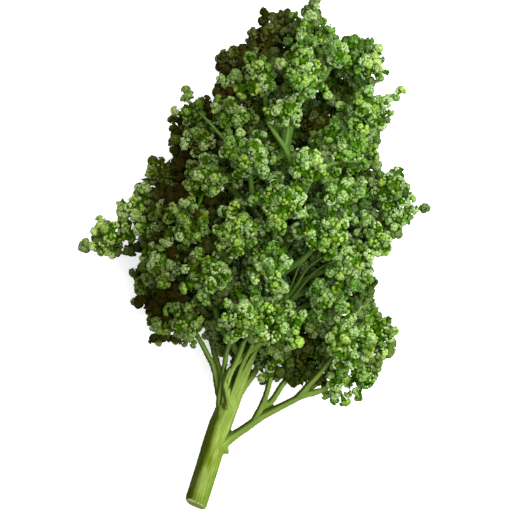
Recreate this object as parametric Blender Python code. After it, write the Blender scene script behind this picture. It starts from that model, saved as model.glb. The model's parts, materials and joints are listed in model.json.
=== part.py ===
# Huauzontle head: one cut stalk that forks into sprays of flower buds, lying on a table.
# Metres, +Z up. The stalk runs along +Y with its cut end at -Y, and the table is the plane z = 0.
# Places and sizes below are in millimetres, from a point under the middle of the head's box.

import math
import random

import bmesh
import bpy
import numpy as np
from mathutils import Matrix, Quaternion, Vector

MM = 0.001
SEED = 11
GAP = 0.3                     # clear space between one spray, the stalk and the next spray

# Florets, the knobs of buds that cover every head
FLORET_RADIUS = 4.1
LOW_FLORET_RADIUS = 4.8       # the same on heads whose middle is lower than this
LOW_HEIGHT = 24.0
FLORET_SPREAD = 0.14          # share by which floret radii vary
FLORET_SPACING = 1.85         # mean distance of neighbouring florets, in floret radii
TOUCH_SHARE = 0.95            # how near two florets of one spray may stand, over the sum of their radii
FILLER_TRIES = 3              # how many times as many places are tried again for a floret between the others
FILLER_SHARE = 0.75           # one there has room for at least this share of its radius
SMALLEST_SHARE = 0.6          # a floret with room for less than this share of its radius is left out
FLORET_SIDES = 5
SHOULDER_HEIGHT = 0.25        # height of a floret's widest ring over its centre, in floret radii
DOME_HEIGHT = 0.85            # height of its top
NECK_ROOT = 0.4               # where its neck starts inside the core, in core radii from the middle
NECK_CHECK = 0.6              # where a neck must be clear of the other nodes, on the way from the middle
LARGEST_SHARE = 0.42          # no floret is wider than this share of its head
DIRECTION_JITTER = 0.12
FORWARD_SHARE = 0.4           # how much a head's outward side leans the way its stem points
REAR_LIMIT = -0.25            # florets that would point further in than this are left out
BURIED_DEPTH = 1.2            # so are those whose centre is this deep in another head, in floret radii
CORE_SHARE = 0.64             # core radius over head radius
TABLE_BITE = 1.1              # how much of a floret that lies on the table is pressed flat
TIP_RADIUS = 2.2              # florets on the single twigs that stand out of the outline

# Stems
BRANCH_RADIUS = 1.2           # a branch where it meets its spray, and the stems inside the spray
ROOT_RADIUS = 1.6             # a branch where it leaves the stalk
BRANCH_ANGLE = math.radians(38)
BRANCH_ARCH = 0.1             # how far a branch bows out, as a share of its length
LOWEST_ROOT_Y = -44.0
ROOT_STEP = 2.6               # least distance along the stalk between the roots of two branches
CORE_FACE = 0.795             # how far a core's flat faces are from its middle, in core radii
CORE_MEETING = 0.7            # two cores this near, over the sum of their radii, hold without a stem
RIB_COUNT = 6
RIB_DEPTH = 0.12              # depth of the grooves between the stalk's ribs, in stalk radii

# The stalk's centre line from the cut end up into the head: x, y, z, radius
STALK = [
    (-24.0, -97.6, 4.3, 4.6),
    (-19.0, -81.7, 7.6, 4.6),
    (-14.2, -66.1, 12.7, 4.6),
    (-10.1, -56.4, 17.6, 4.0),
    (-5.3, -44.7, 24.2, 3.0),
    (-0.2, -31.0, 31.0, 2.5),
    (3.7, -13.5, 36.0, 2.3),
    (6.8, 6.0, 38.0, 2.1),
    (9.2, 25.5, 39.0, 1.9),
    (11.9, 45.0, 38.5, 1.7),
    (14.8, 58.0, 37.5, 1.5),
    (16.8, 66.0, 38.0, 1.3),
]
CUT_TURN = math.radians(24.5)    # the knife's slant, seen from above
CUT_LEAN = math.radians(14)      # how far the cut face looks up
LEAF_SCAR = (-12.3, -75.6, 10.4)
LEAF_SCAR_SIZE = (1.4, 3.4, 1.4)

# The side branch that leaves the stalk low on the right: x, y, z, radius
RIGHT_BRANCH = [
    (-14.8, -75.0, 9.0, 2.2),
    (-9.6, -70.8, 10.2, 2.0),
    (-4.0, -67.0, 12.0, 1.8),
    (2.1, -62.6, 14.8, 1.7),
    (11.1, -57.9, 19.5, 1.5),
    (17.7, -54.4, 23.4, 1.4),
]

# Each spray has its heads (x, y, z, radius) and the ends of its single twigs (x, y, z).
# Where its branch shows below the head, that has its own points (x, y, z), root first.
SPRAYS = {
    "spray_top": {
        "heads": [(19.3, 80.0, 41.0, 11.0), (20.5, 89.5, 37.0, 7.4)],
        "tips": [(17.7, 97.7, 36.0), (23.2, 99.3, 35.0), (27.6, 90.4, 36.0), (13.6, 93.8, 34.0),
                 (30.2, 86.4, 37.0)],
        "branch": [(16.8, 66.0, 38.0)],
    },
    "spray_top_right": {
        "heads": [(31.8, 78.0, 43.7, 10.5), (42.7, 74.0, 38.2, 9.6)],
        "tips": [(42.7, 85.4, 37.0), (49.0, 80.0, 35.0), (52.5, 70.4, 34.5)],
    },
    "spray_top_back": {
        "heads": [(5.3, 84.5, 24.2, 10.5), (9.2, 90.4, 26.0, 6.5)],
        "tips": [(2.1, 96.0, 23.4), (8.4, 92.6, 25.0)],
    },
    "spray_right_high": {
        "heads": [(41.9, 57.5, 42.0, 12.2), (35.7, 41.7, 50.0, 13.2)],
        "tips": [(55.2, 63.0, 39.0), (53.7, 54.8, 38.0)],
    },
    "spray_front_high": {
        "heads": [(17.0, 67.7, 54.5, 12.6), (10.7, 55.5, 59.0, 10.2)],
        "tips": [],
    },
    "spray_front_high_left": {
        "heads": [(2.1, 68.0, 52.6, 12.2), (-8.2, 67.0, 44.0, 8.7)],
        "tips": [],
    },
    "spray_back_high_left": {
        "heads": [(-9.6, 77.2, 27.3, 7.6), (-4.0, 65.0, 26.0, 10.8)],
        "tips": [],
    },
    "spray_left_high": {
        "heads": [(-9.6, 53.8, 54.6, 11.0), (-24.0, 56.0, 41.0, 8.3), (-21.0, 44.5, 51.0, 9.2)],
        "tips": [(-28.0, 63.0, 40.6)],
    },
    "spray_front_mid_left": {
        "heads": [(-3.3, 38.2, 65.5, 13.1)],
        "tips": [],
    },
    "spray_left_mid": {
        "heads": [(-18.4, 30.0, 58.5, 12.2), (-25.0, 12.1, 59.5, 13.6)],
        "tips": [],
    },
    "spray_front_mid": {
        "heads": [(8.4, 19.7, 66.5, 13.1), (18.5, 33.5, 62.5, 11.0)],
        "tips": [],
    },
    "spray_right_mid": {
        "heads": [(33.0, 24.0, 56.5, 11.8), (26.5, 8.0, 61.0, 11.8)],
        "tips": [],
    },
    "spray_right_far": {
        "heads": [(51.2, 25.4, 41.0, 10.3), (54.5, 14.6, 35.0, 8.1)],
        "tips": [(57.2, 35.4, 39.0), (64.2, 19.7, 35.0)],
    },
    "spray_right_low": {
        "heads": [(33.9, -3.0, 50.5, 13.6), (46.5, 6.0, 43.0, 10.1), (41.4, -7.2, 41.0, 7.2)],
        "tips": [],
        "branch": [(-0.2, -31.0, 31.0), (9.0, -20.0, 35.0), (17.0, -10.0, 40.0)],
    },
    "spray_front_low_mid": {
        "heads": [(-7.2, 10.2, 66.0, 12.6), (5.5, -3.0, 64.5, 12.2)],
        "tips": [],
    },
    "spray_left_low": {
        "heads": [(-18.1, -6.7, 61.0, 13.6), (-35.7, -2.5, 49.8, 12.6)],
        "tips": [],
    },
    "spray_far_left": {
        "heads": [(-47.4, 17.7, 33.0, 8.7), (-56.8, 7.4, 36.0, 8.4), (-49.4, 8.4, 32.0, 7.2),
                  (-43.6, 23.2, 30.0, 7.0)],
        "tips": [(-64.2, 3.1, 36.0), (-61.9, 11.7, 36.0), (-55.6, -2.4, 34.0), (-53.8, 22.6, 32.8),
                 (-46.2, 27.5, 32.8)],
        "branch": [(-0.9, -33.0, 30.0), (-24.0, -13.0, 36.0)],
    },
    "spray_left_shade_high": {
        "heads": [(-27.5, 47.5, 27.2, 9.9), (-34.4, 31.4, 30.0, 10.4)],
        "tips": [(-43.0, 38.1, 28.0)],
    },
    "spray_left_shade_mid": {
        "heads": [(-36.7, 11.1, 41.0, 11.2)],
        "tips": [],
    },
    "spray_left_shade_low": {
        "heads": [(-41.2, -12.2, 26.0, 9.6)],
        "tips": [(-48.4, -18.2, 24.4)],
    },
    "spray_front_low": {
        "heads": [(-4.4, -23.0, 57.0, 14.1), (9.8, -26.5, 49.0, 12.2)],
        "tips": [],
        "branch": [(-11.1, -56.4, 19.8), (-12.3, -50.5, 25.7), (-10.3, -43.9, 32.0)],
    },
    "spray_left_bottom": {
        "heads": [(-26.7, -24.4, 42.0, 12.6), (-36.8, -27.5, 37.0, 6.7)],
        "tips": [(-38.0, -34.5, 36.0), (-43.5, -23.2, 35.0)],
        "branch": [(-13.2, -62.0, 14.4), (-15.4, -50.5, 19.5), (-17.4, -41.5, 25.5)],
    },
    "spray_right_bottom_inner": {
        "heads": [(34.0, -33.5, 41.5, 13.6), (27.7, -16.4, 43.5, 12.2)],
        "tips": [(47.2, -19.7, 37.0)],
        "branch": [(16.0, -55.2, 22.4), (20.5, -49.9, 26.5), (25.0, -45.0, 31.0)],
    },
    "spray_right_bottom_low": {
        "heads": [(31.0, -48.6, 30.5, 8.1), (41.4, -46.6, 30.5, 8.7)],
        "tips": [(39.6, -56.2, 28.5), (34.4, -57.7, 28.0), (29.4, -57.2, 26.6)],
        "branch": [(17.7, -54.4, 23.4)],
    },
    "spray_right_bottom_outer": {
        "heads": [(47.8, -29.8, 29.0, 8.5), (48.8, -36.6, 29.0, 6.6)],
        "tips": [(53.0, -22.4, 29.0), (54.8, -36.9, 28.0)],
        "branch": [(16.6, -54.8, 22.6), (25.5, -48.0, 20.0), (35.0, -41.0, 20.0)],
    },
    "spray_low_middle": {
        "heads": [(17.0, -33.9, 20.4, 10.5), (19.6, -41.6, 14.5, 6.8)],
        "tips": [],
        "branch": [(1.1, -63.2, 14.2), (7.2, -54.8, 15.6), (11.6, -48.2, 17.0)],
    },
    "spray_low_inner": {
        "heads": [(6.8, -41.0, 29.0, 6.0)],
        "tips": [(1.5, -48.5, 29.0)],
        "branch": [(-1.2, -64.8, 13.2), (2.6, -57.1, 16.4), (4.4, -51.7, 20.5)],
    },
    "spray_behind_gap": {
        "heads": [(25.1, 50.7, 25.0, 10.8)],
        "tips": [],
    },
    "spray_under_top": {
        "heads": [(30.7, 64.0, 16.0, 11.8), (15.0, 70.0, 14.0, 10.8)],
        "tips": [],
        "branch": [(14.2, 55.0, 37.8), (15.5, 61.0, 27.0)],
    },
    "spray_under_right_high": {
        "heads": [(37.5, 33.3, 20.0, 13.6)],
        "tips": [],
    },
    "spray_under_right": {
        "heads": [(40.3, 10.0, 17.5, 12.2), (37.5, -11.0, 20.5, 11.8)],
        "tips": [],
        "branch": [(-0.2, -31.0, 31.0), (18.0, -20.0, 27.0)],
    },
    "spray_under_left_high": {
        "heads": [(-17.2, 34.3, 11.4, 11.8), (-6.5, 50.0, 11.8, 12.2)],
        "tips": [],
    },
    "spray_under_middle_high": {
        "heads": [(12.1, 35.0, 13.2, 13.6)],
        "tips": [],
        "branch": [(4.4, -9.0, 36.6), (11.0, 12.0, 28.0)],
    },
    "spray_under_middle": {
        "heads": [(18.9, 11.5, 13.7, 14.1), (0.5, 15.5, 11.9, 12.2)],
        "tips": [],
        "branch": [(0.0, -30.0, 31.4), (8.0, -8.0, 25.0)],
    },
    "spray_under_left": {
        "heads": [(-24.4, 12.0, 12.2, 12.6), (-23.0, -8.5, 14.4, 11.8)],
        "tips": [],
        "branch": [(-12.2, -59.0, 14.4), (-14.6, -44.7, 16.5), (-18.0, -32.0, 15.5)],
    },
    "spray_under_low": {
        "heads": [(4.3, -12.5, 13.2, 13.6)],
        "tips": [],
        "branch": [(-9.4, -57.4, 15.6), (-3.7, -49.7, 16.4), (2.0, -38.8, 15.4)],
    },
}

STALK_COLOUR = (0.30, 0.42, 0.07, 1.0)
BUD_COLOUR = (0.16, 0.30, 0.05, 1.0)


def clear_scene():
    for obj in list(bpy.data.objects):
        bpy.data.objects.remove(obj)


def new_collection(name):
    collection = bpy.data.collections.new(name)
    bpy.context.scene.collection.children.link(collection)
    return collection


def plant_material(name, colour, roughness):
    material = bpy.data.materials.new(name)
    material.use_nodes = True
    shader = material.node_tree.nodes["Principled BSDF"]
    shader.inputs["Base Color"].default_value = colour
    shader.inputs["Roughness"].default_value = roughness
    shader.inputs["Metallic"].default_value = 0.0
    return material


def unit(vector):
    vector = np.array(vector, float)
    return vector / np.linalg.norm(vector)


def smooth_line(points, steps):
    """Points on a Catmull-Rom curve through the given ones, which may carry a radius as last number."""
    known = [np.array(point, float) for point in points]
    padded = [2 * known[0] - known[1], *known, 2 * known[-1] - known[-2]]
    line = []
    for a, b, c, d in zip(padded, padded[1:], padded[2:], padded[3:]):
        for i in range(steps):
            t = i / steps
            bend = (2 * a - 5 * b + 4 * c - d) * t ** 2 + (3 * b - a - 3 * c + d) * t ** 3
            line.append(0.5 * (2 * b + (c - a) * t + bend))
    return [*line, known[-1]]


def with_radius(line, first, last):
    """The line's points with a radius that goes evenly from first to last."""
    ends = len(line) - 1
    return [(*point, first + (last - first) * i / ends) for i, point in enumerate(line)]


class Space:
    """Balls that stand for what is placed already, by owner, so that no two nodes touch."""

    def __init__(self):
        self.balls = {}

    def add_ball(self, owner, centre, radius):
        self.balls.setdefault(owner, []).append((*centre, radius))

    def add_tube(self, owner, line):
        for start, end in zip(line, line[1:]):
            start, end = np.array(start), np.array(end)
            steps = max(1, math.ceil(np.linalg.norm((end - start)[:3])))
            for i in range(steps + 1):
                x, y, z, radius = start + (end - start) * i / steps
                self.add_ball(owner, (x, y, z), radius)

    def room(self, owners, centre):
        """The largest ball at centre that keeps the gap to all that isn't these owners' own."""
        others = [ball for name, balls in self.balls.items() if name not in owners for ball in balls]
        others = np.array(others)
        return float((np.linalg.norm(others[:, :3] - centre, axis=1) - others[:, 3]).min()) - GAP


def rib_profile():
    """The stalk's ribbed section, of radius 1 mm."""
    curve = bpy.data.curves.new("rib_profile", "CURVE")
    curve.dimensions = "2D"
    spline = curve.splines.new("POLY")
    spline.use_cyclic_u = True
    corners = 2 * RIB_COUNT
    spline.points.add(corners - 1)
    for i, point in enumerate(spline.points):
        radius = MM * (1 - RIB_DEPTH * (i % 2))
        angle = math.tau * i / corners
        point.co = (radius * math.cos(angle), radius * math.sin(angle), 0, 1)
    profile = bpy.data.objects.new("rib_profile", curve)
    profile.hide_render = True
    profile.display_type = "WIRE"
    return profile


def tube(line, fineness=0, profile=None):
    """A closed tube along points with a radius: four-sided, finer, or with the profile's section."""
    curve = bpy.data.curves.new("tube", "CURVE")
    curve.dimensions = "3D"
    curve.use_fill_caps = True
    if profile:
        curve.bevel_mode = "OBJECT"
        curve.bevel_object = profile
    else:
        curve.bevel_depth = MM
        curve.bevel_resolution = fineness
    spline = curve.splines.new("POLY")
    spline.points.add(len(line) - 1)
    for point, (x, y, z, radius) in zip(spline.points, line):
        point.co = (x * MM, y * MM, z * MM, 1)
        point.radius = radius
    guide = bpy.data.objects.new("guide", curve)
    bpy.context.scene.collection.objects.link(guide)
    graph = bpy.context.evaluated_depsgraph_get()
    mesh = bpy.data.meshes.new_from_object(guide.evaluated_get(graph))
    bpy.data.objects.remove(guide)
    shape = bmesh.new()
    shape.from_mesh(mesh)
    bmesh.ops.remove_doubles(shape, verts=shape.verts, dist=0.01 * MM)
    bmesh.ops.recalc_face_normals(shape, faces=shape.faces)
    shape.to_mesh(mesh)
    shape.free()
    return bpy.data.objects.new("tube", mesh)


def core(centre, radius, facing, squash=(1, 1, 1)):
    """A faceted ball that turns one of its flat faces to a direction."""
    mesh = bpy.data.meshes.new("core")
    shape = bmesh.new()
    bmesh.ops.create_icosphere(shape, subdivisions=1, radius=radius * MM)
    shape.faces.ensure_lookup_table()
    shape.normal_update()
    turn = shape.faces[0].normal.rotation_difference(Vector(facing))
    shape.transform(Matrix.LocRotScale(Vector(centre) * MM, turn, Vector(squash)))
    shape.to_mesh(mesh)
    shape.free()
    return bpy.data.objects.new("core", mesh)


def floret(root, place, radius, spin):
    """A knob that opens from a pointed neck at its root to a low dome on a wide shoulder at its place."""
    mesh = bpy.data.meshes.new("floret")
    shape = bmesh.new()
    bmesh.ops.create_uvsphere(shape, u_segments=FLORET_SIDES, v_segments=2, radius=radius * MM)
    low, _, *_, high = sorted(shape.verts, key=lambda vert: vert.co.z)
    for vert in shape.verts:
        vert.co.z = SHOULDER_HEIGHT * radius * MM
    low.co.z = -np.linalg.norm(place - root) * MM
    high.co.z = DOME_HEIGHT * radius * MM
    turn = Vector(place - root).to_track_quat("Z", "Y") @ Quaternion((0, 0, 1), spin)
    shape.transform(Matrix.LocRotScale(Vector(place) * MM, turn, None))
    shape.to_mesh(mesh)
    shape.free()
    return bpy.data.objects.new("floret", mesh)


def box(name, location, rotation, size):
    """A box cutter; rotation is a quaternion, and sizes are in millimetres."""
    mesh = bpy.data.meshes.new(name)
    shape = bmesh.new()
    bmesh.ops.create_cube(shape, size=1)
    bmesh.ops.scale(shape, verts=shape.verts, vec=Vector(size) * MM)
    shape.to_mesh(mesh)
    shape.free()
    cutter = bpy.data.objects.new(name, mesh)
    cutter.location = Vector(location) * MM
    cutter.rotation_mode = "QUATERNION"
    cutter.rotation_quaternion = rotation
    cutter.hide_render = True
    cutter.display_type = "WIRE"
    return cutter


def table_cutter():
    """Everything below the table."""
    depth = 20
    return box("table", (0, 0, -depth / 2), Quaternion(), (300, 300, depth))


def knife_cutter():
    """What the knife took off, below the stalk's cut face."""
    depth = 16
    outward = Vector((
        -math.sin(CUT_TURN) * math.cos(CUT_LEAN),
        -math.cos(CUT_TURN) * math.cos(CUT_LEAN),
        math.sin(CUT_LEAN),
    ))
    centre = Vector(STALK[0][:3]) + outward * depth / 2
    return box("knife", centre, outward.to_track_quat("Z", "Y"), (depth, depth, depth))


def fuse(name, pieces, cutters, material, parts):
    """Joins the pieces in one closed body, takes the cutters away, and puts it in the parts."""
    body, *repeats = pieces
    bpy.context.scene.collection.objects.link(body)
    group = new_collection(name + "_repeats")
    for piece in repeats:
        group.objects.link(piece)
    union = body.modifiers.new("union", "BOOLEAN")
    union.operation = "UNION"
    union.operand_type = "COLLECTION"
    union.collection = group
    union.solver = "MANIFOLD"
    for cutter in cutters:
        cut = body.modifiers.new(cutter.name, "BOOLEAN")
        cut.operation = "DIFFERENCE"
        cut.object = cutter
        cut.solver = "MANIFOLD"
    graph = bpy.context.evaluated_depsgraph_get()
    mesh = bpy.data.meshes.new_from_object(body.evaluated_get(graph))
    for piece in pieces:
        bpy.data.objects.remove(piece)
    bpy.data.collections.remove(group)
    mesh.materials.clear()
    mesh.materials.append(material)
    part = bpy.data.objects.new(name, mesh)
    parts.objects.link(part)


def all_heads():
    return [head for spray in SPRAYS.values() for head in spray["heads"]]


def nearest_on_stalk(place):
    line = [point[:3] for point in smooth_line(STALK, 6)]
    return min(line, key=lambda point: np.linalg.norm(point - place))


def core_size(name, head):
    """The core's radius: its share of the head, at most its share of the way to another spray's head."""
    size = CORE_SHARE * head[3]
    for other_name, spray in SPRAYS.items():
        for other in spray["heads"]:
            if other_name != name:
                away = np.linalg.norm(np.array(head[:3]) - other[:3])
                size = min(size, (away - GAP) * head[3] / (head[3] + other[3]))
    return size


def branch_root(spray, used):
    """The free place on the stalk's centre line where a branch to this spray leaves at its usual angle."""
    middle = np.mean([head[:3] for head in spray["heads"]], axis=0)
    line = [point[:3] for point in smooth_line(STALK, 6)]
    best, least = None, math.inf
    for here, above in zip(line, line[1:]):
        if here[1] < LOWEST_ROOT_Y or any(np.linalg.norm(here - root) < ROOT_STEP for root in used):
            continue
        angle = math.acos(float(np.dot(unit(above - here), unit(middle - here))))
        if abs(angle - BRANCH_ANGLE) < least:
            best, least = here, abs(angle - BRANCH_ANGLE)
    used.append(best)
    return best


def branch_route(spray, used):
    """The branch's points from its root, and the head whose core it carries."""
    route = spray.get("branch") or [branch_root(spray, used)]
    route = [np.array(point, float) for point in route]
    near = min(spray["heads"], key=lambda head: np.linalg.norm(route[-1] - head[:3]))
    if len(route) == 1:
        halfway = (route[0] + near[:3]) / 2
        outward = unit(halfway - nearest_on_stalk(halfway))
        route.append(halfway + outward * BRANCH_ARCH * np.linalg.norm(route[0] - near[:3]))
    return route, near


def branch_owner(name):
    return name + " branch"


def end_at_core(line, centre, size):
    """The line with its end pulled back to just short of the core's flat face."""
    outside = [point for point in line if np.linalg.norm(centre - point) > size + 1]
    heading = unit(centre - outside[-1])
    return [*outside, centre - heading * (CORE_FACE * size + GAP)], heading


def plan_branches(space):
    """Each spray's branch, its heading at the core and the head it carries, and each head's core radius."""
    space.add_tube("stalk", smooth_line(STALK, 2))
    space.add_tube("stalk", smooth_line(RIGHT_BRANCH, 2))
    lines = {}
    used = []
    for name, spray in SPRAYS.items():
        route, near = branch_route(spray, used)
        lines[name] = smooth_line([*route, near[:3]], 2 if "branch" in spray else 1), near
        line, _ = end_at_core(lines[name][0], np.array(near[:3]), core_size(name, near))
        space.add_tube(branch_owner(name), with_radius(line, ROOT_RADIUS, BRANCH_RADIUS))
    cores = {}
    for name, spray in SPRAYS.items():
        for head in spray["heads"]:
            owners = [name, branch_owner(name)] if head == lines[name][1] else [name]
            room = space.room(owners, np.array(head[:3]))
            cores[name, head] = min(core_size(name, head), room)
    plans = {}
    for name, (line, near) in lines.items():
        line, heading = end_at_core(line, np.array(near[:3]), cores[name, near])
        plans[name] = (with_radius(line, ROOT_RADIUS, BRANCH_RADIUS), heading, near)
        del space.balls[branch_owner(name)]
        space.add_tube(branch_owner(name), plans[name][0])
    for (name, head), size in cores.items():
        space.add_ball(name, head[:3], size)
    return plans, cores


def plan_stems(space, plans, cores):
    """Stems from head to head inside each spray, where two cores don't meet, entered as taken."""
    stems = {}
    for name, spray in SPRAYS.items():
        joined = [plans[name][2]]
        stems[name] = []
        for head in spray["heads"]:
            if head in joined:
                continue
            other = min(joined, key=lambda other: math.dist(head[:3], other[:3]))
            if CORE_MEETING * (cores[name, head] + cores[name, other]) < math.dist(head[:3], other[:3]):
                stem = [(*other[:3], BRANCH_RADIUS), (*head[:3], BRANCH_RADIUS)]
                space.add_tube(name, stem)
                stems[name].append(stem)
            joined.append(head)
    return stems


def spread_directions(count, spin):
    """Unit vectors spread evenly over a ball, along a golden-angle spiral."""
    golden = math.pi * (3 - math.sqrt(5))
    for i in range(count):
        height = 1 - 2 * (i + 0.5) / count
        ring = math.sqrt(1 - height * height)
        yield np.array([ring * math.cos(golden * i + spin), ring * math.sin(golden * i + spin), height])


def head_florets(name, head, start, space, taken, rng):
    """Places and radii of the florets over the outward side of one head, whose stem comes from start."""
    centre, radius = np.array(head[:3]), head[3]
    outward = unit(unit(centre - nearest_on_stalk(centre)) + FORWARD_SHARE * unit(centre - start))
    usual = min(LOW_FLORET_RADIUS if centre[2] < LOW_HEIGHT else FLORET_RADIUS, LARGEST_SHARE * radius)
    florets = []
    if centre[2] < radius:
        florets.append((np.array([centre[0], centre[1], DOME_HEIGHT * usual - TABLE_BITE]), usual))
    shell = radius - usual
    spacing = FLORET_SPACING * usual
    count = round(4 * math.pi * shell ** 2 / (0.866 * spacing ** 2))
    turn = Vector(outward).to_track_quat("Z", "Y").to_matrix()
    evenly = [(direction, SMALLEST_SHARE) for direction in spread_directions(count, rng.uniform(0, math.tau))]
    between = [(direction, FILLER_SHARE) for direction in spread_directions(FILLER_TRIES * count, 0)]
    for direction, least in evenly + between:
        jitter = np.array([rng.gauss(0, DIRECTION_JITTER) for _ in range(3)])
        wanted = usual * (1 + rng.uniform(-FLORET_SPREAD, FLORET_SPREAD))
        if direction[2] < REAR_LIMIT:
            continue
        place = centre + unit(np.array(turn @ Vector(direction + jitter))) * shell
        if any(np.linalg.norm(place - other[:3]) < other[3] - BURIED_DEPTH * usual
               for other in all_heads() if other != head):
            continue
        beside = [np.linalg.norm(place - other) / TOUCH_SHARE - size for other, size in taken + florets]
        size = min(wanted, space.room([name], place), *beside)
        neck_room = space.room([name], centre + (place - centre) * NECK_CHECK)
        if size < least * wanted or neck_room < size * NECK_CHECK or place[2] < size / 2:
            continue
        florets.append((place, size))
    return florets


def nearest_head(spray, place):
    return min(spray["heads"], key=lambda head: math.dist(place, head[:3]))


def make_spray(name, plan, stems, cores, space, rng, cutters, material, parts):
    """One spray: its cores, the stems between them, its tips and the florets that cover its heads."""
    spray = SPRAYS[name]
    branch, heading, _ = plan
    knobs = []
    for tip in spray["tips"]:
        head = nearest_head(spray, tip)
        place = np.array(tip) - unit(np.array(tip) - head[:3]) * TIP_RADIUS * DOME_HEIGHT
        knobs.append((head, place, TIP_RADIUS))
        space.add_ball(name, place, TIP_RADIUS)
    for head in spray["heads"]:
        taken = [(place, size) for _, place, size in knobs]
        for place, size in head_florets(name, head, np.array(branch[-1][:3]), space, taken, rng):
            knobs.append((head, place, size))
            space.add_ball(name, place, size)
    pieces = [core(head[:3], cores[name, head], -heading) for head in spray["heads"]]
    pieces += [tube(stem) for stem in stems]
    for head, place, size in knobs:
        centre = np.array(head[:3])
        root = centre + unit(place - centre) * NECK_ROOT * cores[name, head]
        pieces.append(floret(root, place, size, rng.uniform(0, math.tau)))
    fuse(name, pieces, cutters, material, parts)


def make_stalk(plans, cutters, material, parts):
    """The stalk with its ribs, the low right branch, the leaf scar and every spray's branch."""
    profile = rib_profile()
    bpy.context.scene.collection.objects.link(profile)
    spare = 5
    line = smooth_line(STALK, 2)
    start = line[0].copy()
    start[:3] -= unit(line[1][:3] - start[:3]) * spare
    main = tube([start, *line], profile=profile)
    bpy.data.objects.remove(profile)
    scar = core(LEAF_SCAR, 1, (0, 0, 1), LEAF_SCAR_SIZE)
    pieces = [main, tube(smooth_line(RIGHT_BRANCH, 2), 1), scar]
    pieces += [tube(branch) for branch, _, _ in plans.values()]
    fuse("stalk", pieces, cutters, material, parts)


def build():
    clear_scene()
    parts = new_collection("huauzontle")
    helpers = new_collection("cutters")
    table, knife = table_cutter(), knife_cutter()
    helpers.objects.link(table)
    helpers.objects.link(knife)
    stalk_green = plant_material("stalk_green", STALK_COLOUR, 0.5)
    bud_green = plant_material("bud_green", BUD_COLOUR, 0.75)
    rng = random.Random(SEED)
    space = Space()
    plans, cores = plan_branches(space)
    stems = plan_stems(space, plans, cores)
    make_stalk(plans, [table, knife], stalk_green, parts)
    for name in SPRAYS:
        make_spray(name, plans[name], stems[name], cores, space, rng, [table], bud_green, parts)


build()
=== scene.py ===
# Huauzontle head on a pale table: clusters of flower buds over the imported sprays, and a ridged stalk.

import json
import math
import random

import bmesh
import bpy
import numpy as np
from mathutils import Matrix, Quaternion, Vector
from mathutils.bvhtree import BVHTree

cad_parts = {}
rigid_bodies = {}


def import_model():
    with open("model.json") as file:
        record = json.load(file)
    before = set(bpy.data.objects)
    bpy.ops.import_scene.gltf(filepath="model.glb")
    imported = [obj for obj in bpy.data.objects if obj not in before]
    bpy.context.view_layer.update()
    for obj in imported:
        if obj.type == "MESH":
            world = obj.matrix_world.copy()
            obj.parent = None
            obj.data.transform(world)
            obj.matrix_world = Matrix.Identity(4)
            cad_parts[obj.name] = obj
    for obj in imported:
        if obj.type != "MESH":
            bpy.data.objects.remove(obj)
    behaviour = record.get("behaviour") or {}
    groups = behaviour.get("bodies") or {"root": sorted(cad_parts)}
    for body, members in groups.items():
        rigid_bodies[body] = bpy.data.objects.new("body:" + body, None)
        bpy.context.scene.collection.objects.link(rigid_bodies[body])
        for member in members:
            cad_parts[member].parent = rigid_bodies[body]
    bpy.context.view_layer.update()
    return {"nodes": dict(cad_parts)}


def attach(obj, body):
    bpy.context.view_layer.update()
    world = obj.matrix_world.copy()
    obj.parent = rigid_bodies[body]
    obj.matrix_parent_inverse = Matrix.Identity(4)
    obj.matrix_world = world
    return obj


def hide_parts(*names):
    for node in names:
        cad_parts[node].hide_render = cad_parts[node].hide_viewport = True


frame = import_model()
scene = bpy.context.scene
mm = 0.001
up = Vector((0, 0, 1))
lowest = 0.02 * mm  # of any vertex, over the table


# Meshes and objects

def meshFrom(shape, name):
    # a finished bmesh becomes a mesh
    mesh = bpy.data.meshes.new(name)
    shape.to_mesh(mesh)
    shape.free()
    return mesh


def placed(name, data):
    obj = bpy.data.objects.new(name, data)
    scene.collection.objects.link(obj)
    return obj


def storeValues(mesh, name, values):
    mesh.attributes.new(name, "FLOAT", "POINT").data.foreach_set("value", np.array(values, dtype=np.float32))


def plainMesh(obj):
    # what its modifiers make becomes the object's own mesh, kept above the table
    graph = bpy.context.evaluated_depsgraph_get()
    mesh = bpy.data.meshes.new_from_object(obj.evaluated_get(graph))
    obj.modifiers.clear()
    obj.data = mesh
    for vert in mesh.vertices:
        vert.co.z = max(vert.co.z, lowest)


def circle(shape, count, radius, height, turn=0.0):
    # new vertices round the z axis, turned by this share of the step between them
    angles = [math.tau * (i + turn) / count for i in range(count)]
    return [shape.verts.new((radius * math.cos(angle), radius * math.sin(angle), height)) for angle in angles]


# Shader maths

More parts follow.
